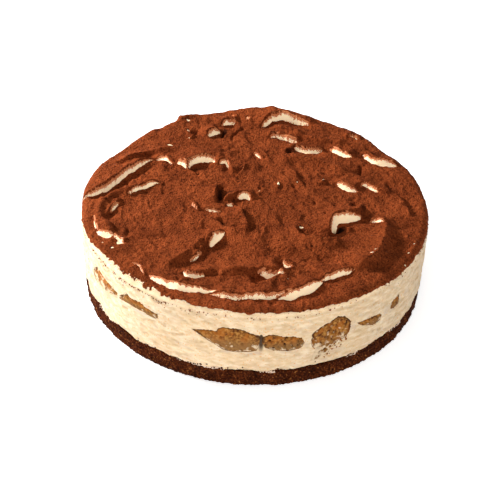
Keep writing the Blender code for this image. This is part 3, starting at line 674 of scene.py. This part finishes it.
def add_ramp(tree, value, *stops):
    ramp = tree.nodes.new("ShaderNodeValToRGB")
    elements = ramp.color_ramp.elements
    while len(elements) < len(stops):
        elements.new(0.5)
    for element, (position, colour) in zip(elements, stops):
        element.position = position
        element.color = colour
    tree.links.new(value, ramp.inputs["Fac"])
    return ramp.outputs["Color"]


def feed(tree, socket, value):
    """Gives a socket another node's output or a plain value."""
    if isinstance(value, bpy.types.NodeSocket):
        tree.links.new(value, socket)
    else:
        socket.default_value = value


def add_mix(tree, factor, first, second, blend="MIX"):
    mix = tree.nodes.new("ShaderNodeMix")
    mix.data_type = "RGBA"
    mix.blend_type = blend
    for place, value in ((0, factor), (6, first), (7, second)):
        feed(tree, mix.inputs[place], value)
    return mix.outputs[2]


def add_math(tree, operation, *values):
    node = tree.nodes.new("ShaderNodeMath")
    node.operation = operation
    for socket, value in zip(node.inputs, values):
        feed(tree, socket, value)
    return node.outputs["Value"]


def read_attribute(tree, name):
    node = tree.nodes.new("ShaderNodeAttribute")
    node.attribute_name = name
    return node.outputs["Fac"]


def finish_material(tree, shader, colour, height, depth):
    """Gives the shader its colour and its finest relief."""
    tree.links.new(colour, shader.inputs["Base Color"])
    bump = tree.nodes.new("ShaderNodeBump")
    bump.inputs["Distance"].default_value = depth * MM
    tree.links.new(height, bump.inputs["Height"])
    tree.links.new(bump.outputs["Normal"], shader.inputs["Normal"])


def srgb(red, green, blue):
    """A colour as seen on screen, 0 to 255, turned into the linear values that shaders take."""
    shares = [value / 255 for value in (red, green, blue)]
    linear = [c / 12.92 if c <= 0.04045 else ((c + 0.055) / 1.055) ** 2.4 for c in shares]
    return (*linear, 1.0)


def grey(level):
    return (level, level, level, 1.0)


def tones(tree, texture, *stops):
    """Turns a texture into colours. Each stop is a level and a colour as seen on screen."""
    return add_ramp(tree, texture, *[(level, srgb(*colour)) for level, *colour in stops])


def tint(tree, colour, name, screen_colour):
    """Turns a colour into another one where the mesh carries this attribute."""
    return add_mix(tree, read_attribute(tree, name), colour, srgb(*screen_colour))


def shaded(tree, colour, texture, low, dark, high):
    """Darkens a colour where a texture is low: dark below one level and unchanged above another."""
    shade = add_ramp(tree, texture, (low, srgb(*dark)), (high, grey(1.0)))
    return add_mix(tree, 1.0, colour, shade, "MULTIPLY")


def cocoa_material():
    material, tree, shader = node_material("cocoa_powder", 0.95, 0.04)
    grain = add_noise(tree, 0.95, 4.0)
    clumps = add_noise(tree, 2.0, 4.0)
    stops = (0.30, 62, 24, 9), (0.39, 134, 61, 28), (0.55, 154, 73, 35), (0.72, 172, 90, 46)
    colour = tones(tree, grain, *stops)
    colour = shaded(tree, colour, add_noise(tree, 14.0, 3.0), 0.3, (205, 200, 195), 0.65)
    colour = shaded(tree, colour, clumps, 0.34, (205, 196, 188), 0.46)
    # Painted shade: the cocoa is darkened at the bottom of the deep pits.
    colour = tint(tree, colour, "pit_shade", (34, 12, 5))
    finish_material(tree, shader, colour, add_math(tree, "ADD", grain, clumps), 1.5)
    return material


def cream_material():
    material, tree, shader = node_material("mascarpone_cream", 0.5, 0.1)
    smears = add_noise(tree, 2.2, 4.0, (2.2, 2.2, 0.9))
    colour = tones(tree, smears, (0.32, 207, 179, 143), (0.5, 218, 193, 159), (0.66, 227, 207, 178))
    colour = shaded(tree, colour, add_noise(tree, 16.0, 2.0), 0.3, (248, 242, 232), 0.7)
    # Painted light: the cream on top is made lighter than on the wall.
    colour = tint(tree, colour, "top_painted_light", (255, 226, 186))
    speck = add_noise(tree, 0.55, 1.0)
    dust = add_math(tree, "GREATER_THAN", read_attribute(tree, "dust"), speck)
    holes = add_ramp(tree, add_noise(tree, 0.9, 0.0), (0.715, grey(0.0)), (0.75, grey(0.7)))
    on_wall = add_math(tree, "SUBTRACT", 1.0, read_attribute(tree, "top_painted_light"))
    holes = add_math(tree, "MULTIPLY", holes, on_wall)
    colour = add_mix(tree, holes, colour, srgb(214, 150, 82))
    streaks = add_noise(tree, 1.8, 3.0, (2.0, 2.0, 0.7))
    streaks = add_ramp(tree, streaks, (0.4, grey(0.15)), (0.6, grey(1.0)))
    film = add_math(tree, "MULTIPLY", streaks, read_attribute(tree, "smear"))
    colour = add_mix(tree, film, colour, srgb(196, 172, 152))
    # Painted shade in the sunken seam between two ladyfingers' ends.
    colour = tint(tree, colour, "seam_shade", (48, 22, 8))
    dusted = tones(tree, add_noise(tree, 0.4, 1.0), (0.35, 150, 74, 40), (0.65, 205, 130, 84))
    colour = add_mix(tree, dust, colour, dusted)
    # Painted light: the cream of the strokes on top glows a little, to brighten them where they lie in shade.
    glow = add_math(tree, "MULTIPLY", read_attribute(tree, "top_painted_light"), 0.34)
    tree.links.new(colour, shader.inputs["Emission Color"])
    tree.links.new(glow, shader.inputs["Emission Strength"])
    shader.inputs["Subsurface Weight"].default_value = 0.25
    shader.inputs["Subsurface Radius"].default_value = (1.0, 0.6, 0.3)
    shader.inputs["Subsurface Scale"].default_value = 0.0012
    finish_material(tree, shader, colour, add_noise(tree, 1.5, 4.0, (2.0, 2.0, 0.9)), 0.55)
    return material


def ladyfinger_material():
    material, tree, shader = node_material("ladyfinger", 0.8, 0.15)
    crumb = add_noise(tree, 1.6, 4.0)
    colour = tones(tree, crumb, (0.34, 84, 42, 10), (0.5, 143, 90, 34), (0.66, 176, 124, 58))
    warm = add_ramp(tree, add_noise(tree, 4.5, 2.0), (0.48, grey(0.0)), (0.62, grey(0.7)))
    colour = add_mix(tree, warm, colour, srgb(160, 90, 26))
    colour = tint(tree, colour, "low", (122, 88, 50))
    # Painted shade in the pores and sunken places of the ladyfinger's end.
    colour = tint(tree, colour, "pore_shade", (44, 19, 5))
    colour = tint(tree, colour, "crust", (58, 29, 9))
    film = add_math(tree, "SUBTRACT", read_attribute(tree, "film"), add_noise(tree, 3.0, 3.0))
    film = add_math(tree, "MINIMUM", add_math(tree, "MULTIPLY", add_math(tree, "ADD", film, 0.05), 7.0), 0.8)
    colour = add_mix(tree, film, colour, srgb(224, 200, 166))
    finish_material(tree, shader, colour, add_noise(tree, 0.6, 2.0), 0.3)
    return material


def sponge_material():
    material, tree, shader = node_material("chocolate_sponge", 0.9, 0.05)
    crumb = add_noise(tree, 1.1, 4.0)
    stops = (0.30, 30, 9, 3), (0.47, 70, 28, 9), (0.62, 98, 46, 17), (0.74, 176, 118, 62)
    colour = tones(tree, crumb, *stops)
    colour = shaded(tree, colour, add_noise(tree, 7.0, 3.0), 0.35, (190, 180, 170), 0.6)
    # Painted shade in the sponge's pores and hollows.
    colour = tint(tree, colour, "pore_shade", (28, 9, 4))
    smeared = add_math(tree, "GREATER_THAN", read_attribute(tree, "cream"), add_noise(tree, 1.3, 2.0))
    colour = add_mix(tree, smeared, colour, srgb(240, 214, 190))
    finish_material(tree, shader, colour, add_noise(tree, 0.6, 2.0), 0.4)
    return material


def pit_shade_share(x, y):
    """How much painted shade darkens the cocoa at each place in the deep pits, from 0 to 1."""
    share = np.zeros(len(x))
    ragged = 0.25 * noise(x, y, 0 * x, 2.2, 93)
    for centre, radii, dark in SHADED_PITS:
        away = shares_away(x, y, centre, radii)
        share = np.maximum(share, dark * fall((away + ragged - 0.35) / 0.75))
    return share


def cocoa_skin(material):
    flat_x, flat_y, quads, rim = disc_grid(GRID, TOP_REACH + SKIRT)
    x, y, drop, turn = over_shoulder(flat_x, flat_y)
    z, bare, _ = top_fields(x, y)
    pit_shade = pit_shade_share(x, y)
    ragged_side = fall(np.abs(np.degrees(np.arctan2(y, x)) + 130.0) / 28.0)
    beyond = np.hypot(flat_x, flat_y) - TOP_REACH + 0.5 + ragged_side
    short = np.interp(np.degrees(np.arctan2(y, x)), *zip(*RIM_BARE))
    ragged = 0.9 * noise(x, y, 0 * x, 4.0, 90) + (0.6 + 0.8 * ragged_side) * noise(x, y, 0 * x, 1.3, 91)
    bare = np.maximum(bare, beyond + short + ragged * (1.0 + ragged_side))
    grain = 0.20 * noise(x, y, z, 1.3, 92)
    depth = np.clip((bare + 0.1) * BARE_SLOPE, 0.0, BARE_SINK) - grain
    depth += 0.9 * rise((beyond - 0.5) / 0.8)
    x, y, z = moved_in(x, y, z - drop, turn, depth)
    count = len(x)
    coarse_x, coarse_y, coarse_quads, coarse_rim = disc_grid(GRID // 4, TOP_REACH + SKIRT)
    inner = np.setdiff1d(np.arange(len(coarse_x)), coarse_rim)
    under_x, under_y, under_drop, under_turn = over_shoulder(coarse_x[inner], coarse_y[inner])
    under_z = top_fields(under_x, under_y)[0] - under_drop
    under_x, under_y, under_z = moved_in(under_x, under_y, under_z, under_turn, SKIN_DEPTH)
    number = np.empty(len(coarse_x), int)
    number[inner] = count + np.arange(len(inner))
    number[coarse_rim] = rim[::4]
    faces = quads.tolist()
    rim_place = {int(vertex): place for place, vertex in enumerate(rim)}
    for quad in number[coarse_quads]:
        outline = []
        for a, b in zip(quad, np.roll(quad, -1)):
            outline.append(int(a))
            if int(a) in rim_place and int(b) in rim_place:
                outline += between(rim, rim_place[int(a)], rim_place[int(b)])
        faces.append(outline[::-1])
    points = np.vstack([np.column_stack([x, y, z]), np.column_stack([under_x, under_y, under_z])])
    points[:, 2] = np.minimum(points[:, 2], HIGHEST)
    skin = mesh_object("cocoa_dusting", points, faces, material)
    # Painted shade for the deep pits, on the upper surface only.
    mark(skin, "pit_shade", np.concatenate([pit_shade, np.zeros(len(inner))]))
    return skin


def between(rim, first, last):
    """The rim's vertices between two places in it, the short way round."""
    step = 1 if (last - first) % len(rim) < len(rim) / 2 else -1
    count = (last - first) * step % len(rim)
    return [int(rim[(first + step * number) % len(rim)]) for number in range(1, count)]


def joint_height(x, y):
    return SPONGE_HEIGHT + 0.8 * noise(x, y, 0 * x, 9.0, 70) + 0.6 * noise(x, y, 0 * x, 2.6, 71)


def wall_relief(x, y, z):
    """How far the cream's wall stands in or out, smeared by the ring that it was taken from."""
    smear = 0.40 * noise(x, y, z, (11.0, 11.0, 4.5), 80)
    smear += 0.50 * noise(x, y, z + 0.3 * x, (5.5, 5.5, 2.2), 81)
    first, _ = cells(x, y, z, 6.5, 82)
    pits = -0.6 * fall(first / 0.16)
    tears = -0.5 * rise((noise(x, y, z - 0.25 * x, (6.0, 6.0, 1.6), 87) - 0.45) / 0.2)
    return smear + 0.16 * noise(x, y, z, 1.6, 85) + pits + tears


def seam_share(x, y, z):
    """How much a place of the wall lies in the seam between two ladyfingers' ends, from 0 to 1."""
    away = shares_away(x, z, *SEAM[:2])
    return fall((away - 0.6) / 0.5) * (y < 0)


def cream_body(material):
    flat_x, flat_y, quads, rim = disc_grid(GRID, TOP_REACH)
    x, y, drop, turn = over_shoulder(flat_x, flat_y)
    z, bare, _ = top_fields(x, y)
    covered = rise(-bare - 0.8) * rise((FLAT_REACH - np.hypot(flat_x, flat_y)) / 2.0)
    x, y, z = moved_in(x, y, z - drop, turn, COCOA_DEPTH + CREAM_SINK * covered)
    points = [np.column_stack([x, y, np.minimum(z, HIGHEST)])]
    faces = quads.tolist()
    turn = np.arctan2(y[rim], x[rim])
    cosine, sine = np.cos(turn), np.sin(turn)
    start = z[rim]
    end = joint_height(WALL_RADIUS * cosine, WALL_RADIUS * sine) + 0.2
    last = rim
    count = len(x)
    for row in range(1, WALL_ROWS + 1):
        share = row / WALL_ROWS
        height = start + (end - start) * share
        radius = WALL_RADIUS - (WALL_RADIUS - FOOT_RADIUS) * rise((share - 0.5) * 2)
        x, y = radius * cosine, radius * sine
        calm = fall((nearest_finger(x, y, height)[0] - 1.02) / 0.3)
        relief = wall_relief(x, y, height) * (1.0 - calm) - 0.1 * calm
        relief -= SEAM[2] * seam_share(x, y, height)
        fade = min(1.0, row / 3.0)
        tuck = 0.7 * rise((share - 0.96) / 0.04)
        radius = np.minimum(radius - COCOA_DEPTH * (1.0 - fade) + fade * relief - tuck, WIDEST)
        points.append(around(radius, cosine, sine, height))
        ring = np.arange(count, count + len(rim))
        faces += ring_block(last, ring).tolist()
        last = ring
        count += len(rim)
    points.append(around(FOOT_RADIUS - END_INSET, cosine, sine, SPONGE_HEIGHT + 0.3))
    ring = np.arange(count, count + len(rim))
    faces += ring_block(last, ring).tolist()
    faces.append(ring[::-1].tolist())
    body = mesh_object("mascarpone_body", points, faces, material)
    group = body.vertex_groups.new(name="covered")
    weight = np.concatenate([covered, np.zeros((WALL_ROWS + 1) * len(rim))])
    for level in (0.5, 1.0):
        chosen = np.nonzero((weight > level - 0.5) & (weight <= level))[0]
        group.add(chosen.tolist(), level, "REPLACE")
    triangles = 2 * len(quads) + 2 * WALL_COLUMNS * (WALL_ROWS + 1) + WALL_COLUMNS
    thin = body.modifiers.new("thin", "DECIMATE")
    thin.ratio = CREAM_FACES / triangles
    thin.vertex_group = group.name
    thin.vertex_group_factor = 10.0
    apply_modifiers(body)
    return body


def dress_cream(body):
    """Marks the dust of cocoa, the painted light on the strokes on top, the greyish films and the painted
    shade in the seam on the cream.
    """
    x, y, z = places_of(body)
    reach = np.hypot(x, y)
    _, bare, below_edge = top_fields(x, y)
    fringe = 0.05 + 0.5 * fall(bare / 0.4) + 0.55 * fall(below_edge / 1.5)
    below = (TOP_LEVEL - 1.0) - z
    patchy = 0.5 + 0.5 * noise(x, y, 0 * x, 14.0, 95)
    rim_dust = (0.30 + 0.22 * patchy) * np.exp(-np.maximum(below, 0.0) / (2.0 + 5.0 * patchy))
    on_wall = rise((reach - WALL_RADIUS + 4.0) / 2.0)
    mark(body, "dust", np.where(on_wall > 0.5, rim_dust, fringe))
    inside = 1.0 - 0.7 * rise((reach - FLAT_REACH) / 3.0)
    # Painted light on the cream on top, weaker over the shoulder.
    mark(body, "top_painted_light", inside * rise((z - TOP_LEVEL + 5.5) / 3.0))
    smear = np.zeros(len(x))
    for centre, radii in SMEARS:
        away = shares_away(x, z, centre, radii)
        smear = np.maximum(smear, 0.7 * fall((away - 0.3) / 0.8) * (y < 0) * (on_wall > 0.5))
    mark(body, "smear", smear)
    # Painted shade in the sunken seam.
    mark(body, "seam_shade", 0.9 * seam_share(x, y, z) * (on_wall > 0.5))


def envelope(material):
    """The cake's wall as a closed drum, with the biscuits' pores in it; it trims the biscuits' ends."""
    cosine, sine = compass()
    rings = []
    for row in range(DRUM_ROWS + 1):
        height = np.full(WALL_COLUMNS, DRUM_LOW + (DRUM_HIGH - DRUM_LOW) * row / DRUM_ROWS)
        radius = WALL_RADIUS - 0.25
        x, y = radius * cosine, radius * sine
        value, number = nearest_finger(x, y, height)
        dome = 0.35 * rise((1.0 - value) / 0.5) - 0.15 * rise((value - 0.85) / 0.15)
        first, _ = cells(x, y, height, 3.0, 100)
        tiny, _ = cells(x, y, height, 1.7, 104)
        pores = 1.1 * fall(first / 0.40) + 0.6 * fall(tiny / 0.42)
        pores *= np.array(PORES)[number] * rise((1.0 - value) / 0.12)
        radius = np.minimum(radius + dome - pores + 0.2 * noise(x, y, height, 3.0, 108), WIDEST)
        rings.append(around(radius, cosine, sine, height))
    return drum("wall_envelope", rings, material)


def dress_finger(finger, number):
    """Marks painted shade in the pores, the darker upper crust, the greyer lower part and the film of cream.
    """
    x, y, z = places_of(finger)
    front = finger_shapes(number)[0]
    value = end_value(number, x, y, z)
    middle_z = np.where(y < 0, front[0][1], INNER_LEVEL)
    half_height = np.where(y < 0, front[1][1], INNER_HALF_HEIGHT)
    up = (z - middle_z) / half_height
    depth = WALL_RADIUS - np.hypot(x, y)
    # Painted shade, darker the deeper a place lies behind the wall.
    mark(finger, "pore_shade", rise((depth - 0.45) / 0.8))
    mark(finger, "crust", 0.85 * rise((value - 0.86) / 0.1) * rise((up + 0.1) / 0.4))
    below = rise((0.1 - up) / 0.5) * (0.4 + 0.6 * rise((value - 0.7) / 0.3))
    mark(finger, "film", FILM[number] + LOWER_FILM[number] * below)
    mark(finger, "low", 0.75 * rise((0.35 - up) / 0.9))


def build_fingers(cream, material):
    wall = envelope(material)
    for number in range(len(FINGERS)):
        tunnel = finger_body(number, "tunnel", 0.1, material)
        cut(cream, tunnel, "DIFFERENCE")
        bpy.data.objects.remove(tunnel)
        finger = finger_body(number, f"ladyfinger_row_{number + 1}", 0.0, material)
        cut(finger, wall, "INTERSECT")
        dress_finger(finger, number)
        place_piece(finger, "ladyfinger", f"ladyfinger_{number + 1}")
    bpy.data.objects.remove(wall)


def sponge_foot(material):
    cosine, sine = compass()
    top = joint_height(WALL_RADIUS * cosine, WALL_RADIUS * sine)
    rings = []
    pore_shade_marks = []
    cream_marks = []
    for row in range(FOOT_ROWS + 1):
        share = row / FOOT_ROWS
        height = top * share
        radius = FOOT_RADIUS - 0.5
        x, y = radius * cosine, radius * sine
        first, second = cells(x, y, height, 2.4, 110)
        tiny, _ = cells(x, y, height, 1.3, 113)
        lumps = 0.6 * rise((second - first) / 0.35) - 0.45
        relief = lumps + 0.4 * noise(x, y, height, 5.0, 116) - 0.3 * fall(tiny / 0.4)
        edge = 0.5 * rise((0.04 - share) / 0.04) + 0.9 * rise((share - 0.93) / 0.07)
        radius = np.minimum(radius + relief - edge, WIDEST)
        rings.append(around(radius, cosine, sine, height))
        # Painted shade where the sponge's side sinks in.
        pore_shade_marks.append(rise((-relief - 0.15) / 0.9))
        patchy = rise(noise(x, y, 0 * x, 16.0, 118) + 0.35)
        cream_marks.append(0.75 * patchy * rise((share - 0.86) / 0.08))
    rings.append(around(FOOT_RADIUS - END_INSET, cosine, sine, SPONGE_HEIGHT))
    pore_shade_marks.append(np.zeros(WALL_COLUMNS))
    cream_marks.append(np.zeros(WALL_COLUMNS))
    foot = drum("sponge_foot", rings, material)
    mark(foot, "pore_shade", np.concatenate(pore_shade_marks))
    mark(foot, "cream", np.concatenate(cream_marks))
    return foot


def crumb_cloud(name, places, sizes, material, seed):
    """Many small uneven lumps as one mesh."""
    draw = np.random.default_rng(seed)
    golden = (1 + 5**0.5) / 2
    corners = []
    for a, b in ((1, golden), (-1, golden), (1, -golden), (-1, -golden)):
        corners += [(0, a, b), (a, b, 0), (b, 0, a)]
    lump = np.array(corners) / math.hypot(1, golden)
    triangles = []
    edge = 2 / math.hypot(1, golden) + 0.01
    for i, j, k in combinations(range(12), 3):
        if max(math.dist(lump[a], lump[b]) for a, b in ((i, j), (j, k), (i, k))) < edge:
            triangles.append((i, j, k) if np.linalg.det(lump[[i, j, k]]) > 0 else (i, k, j))
    triangles = np.array(triangles)
    points = []
    faces = []
    for number, (place, size) in enumerate(zip(places, sizes)):
        uneven = draw.uniform(0.65, 1.2, (12, 1)) * draw.uniform(0.6, 1.2, (1, 3))
        points.append(place + lump * uneven * size)
        faces.append(triangles + 12 * number)
    return mesh_object(name, points, np.vstack(faces).tolist(), material)


def wall_places(angles, heights, sink):
    share = (heights - SPONGE_HEIGHT) / WALL_HEIGHT
    radius = WALL_RADIUS - sink - (WALL_RADIUS - FOOT_RADIUS) * rise((0.5 - share) * 2)
    return around(radius, np.cos(angles), np.sin(angles), heights)


def scatter_crumbs(sponge, cocoa, biscuit):
    draw = np.random.default_rng(11)
    angles = draw.uniform(-math.pi, math.pi, JOINT_CRUMBS)
    heights = SPONGE_HEIGHT - 0.2 + draw.exponential(0.9, JOINT_CRUMBS)
    sizes = draw.uniform(0.25, 0.75, JOINT_CRUMBS)
    places = wall_places(angles, np.minimum(heights, 18.0), 0.3)
    place_piece(crumb_cloud("sponge_crumbs", places, sizes, sponge, 12), "chocolate_sponge")
    all_round = draw.uniform(-math.pi, math.pi, RIM_FLAKES)
    in_front = draw.uniform(math.radians(-150), math.radians(-100), MORE_FLAKES)
    angles = np.concatenate([all_round, in_front])
    rim_z = top_fields(FLAT_REACH * np.cos(angles), FLAT_REACH * np.sin(angles))[0] - SHOULDER
    heights = rim_z + 0.6 - draw.exponential(0.9, len(angles))
    sizes = draw.uniform(0.15, 0.42, len(angles))
    places = wall_places(angles, np.maximum(heights, 20.0), 0.0)
    place_piece(crumb_cloud("cocoa_flakes", places, sizes, cocoa, 13), "cocoa_powder")
    angles = np.radians(draw.uniform(-67.0, -58.5, BISCUIT_CRUMBS))
    heights = 21.5 + 0.9 * (np.degrees(angles) + 62.5) + draw.uniform(-3.5, 3.5, BISCUIT_CRUMBS)
    sizes = draw.uniform(0.3, 1.0, BISCUIT_CRUMBS)
    places = wall_places(angles, heights, 0.25)
    place_piece(crumb_cloud("ladyfinger_crumbs", places, sizes, biscuit, 14), "ladyfinger")


def camera_and_lights():
    scene = bpy.context.scene
    camera_data = bpy.data.cameras.new("camera")
    camera = bpy.data.objects.new("camera", camera_data)
    scene.collection.objects.link(camera)
    scene.camera = camera
    elevation = math.radians(CAMERA_ELEVATION)
    back = Vector((0.0, -math.cos(elevation), math.sin(elevation)))
    camera.location = back * CAMERA_DISTANCE
    aim = (-back).to_track_quat("-Z", "Y").to_matrix()
    camera.rotation_euler = (aim @ Matrix.Rotation(math.radians(CAMERA_ROLL), 3, "Z")).to_euler()
    camera_data.sensor_width = SENSOR_WIDTH
    camera_data.lens = FOCAL_LENGTH
    camera_data.shift_x, camera_data.shift_y = CAMERA_SHIFT
    camera_data.clip_start = 0.01
    for name, place, size, power in LIGHTS:
        light_data = bpy.data.lights.new(name, "AREA")
        light_data.size = size
        light_data.energy = power
        light = bpy.data.objects.new(name, light_data)
        light.location = place
        light.rotation_euler = (-Vector(place)).to_track_quat("-Z", "Y").to_euler()
        scene.collection.objects.link(light)
    world = bpy.data.worlds.new("studio")
    world.use_nodes = True
    background = world.node_tree.nodes["Background"]
    background.inputs["Color"].default_value = grey(1.0)
    background.inputs["Strength"].default_value = STUDIO_GLOW
    scene.world = world
    scene.view_settings.view_transform = "Standard"


def lay_floor():
    corners = ((-1, -1), (1, -1), (1, 1), (-1, 1))
    points = [(FLOOR_HALF_SIDE * x, FLOOR_HALF_SIDE * y, -FLOOR_GAP) for x, y in corners]
    material, tree, shader = node_material("pale_floor", 0.9, 0.1)
    colour = add_ramp(tree, add_noise(tree, 900.0), (0.0, grey(0.9)), (1.0, grey(0.92)))
    tree.links.new(colour, shader.inputs["Base Color"])
    shader.inputs["Emission Color"].default_value = grey(1.0)
    shader.inputs["Emission Strength"].default_value = FLOOR_GLOW
    floor = mesh_object("floor", points, [(0, 1, 2, 3)], material)


def place_piece(piece, slot, *nodes):
    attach(piece, "root")
    if nodes:
        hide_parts(*nodes)


cocoa = cocoa_material()
sponge = sponge_material()
biscuit = ladyfinger_material()
place_piece(cocoa_skin(cocoa), "cocoa_powder", "cocoa_top")
cream = cream_body(cream_material())
build_fingers(cream, biscuit)
dress_cream(cream)
place_piece(cream, "mascarpone_cream", "mascarpone_cream")
place_piece(sponge_foot(sponge), "chocolate_sponge", "chocolate_sponge")
scatter_crumbs(sponge, cocoa, biscuit)
camera_and_lights()
lay_floor()
bpy.context.view_layer.update()
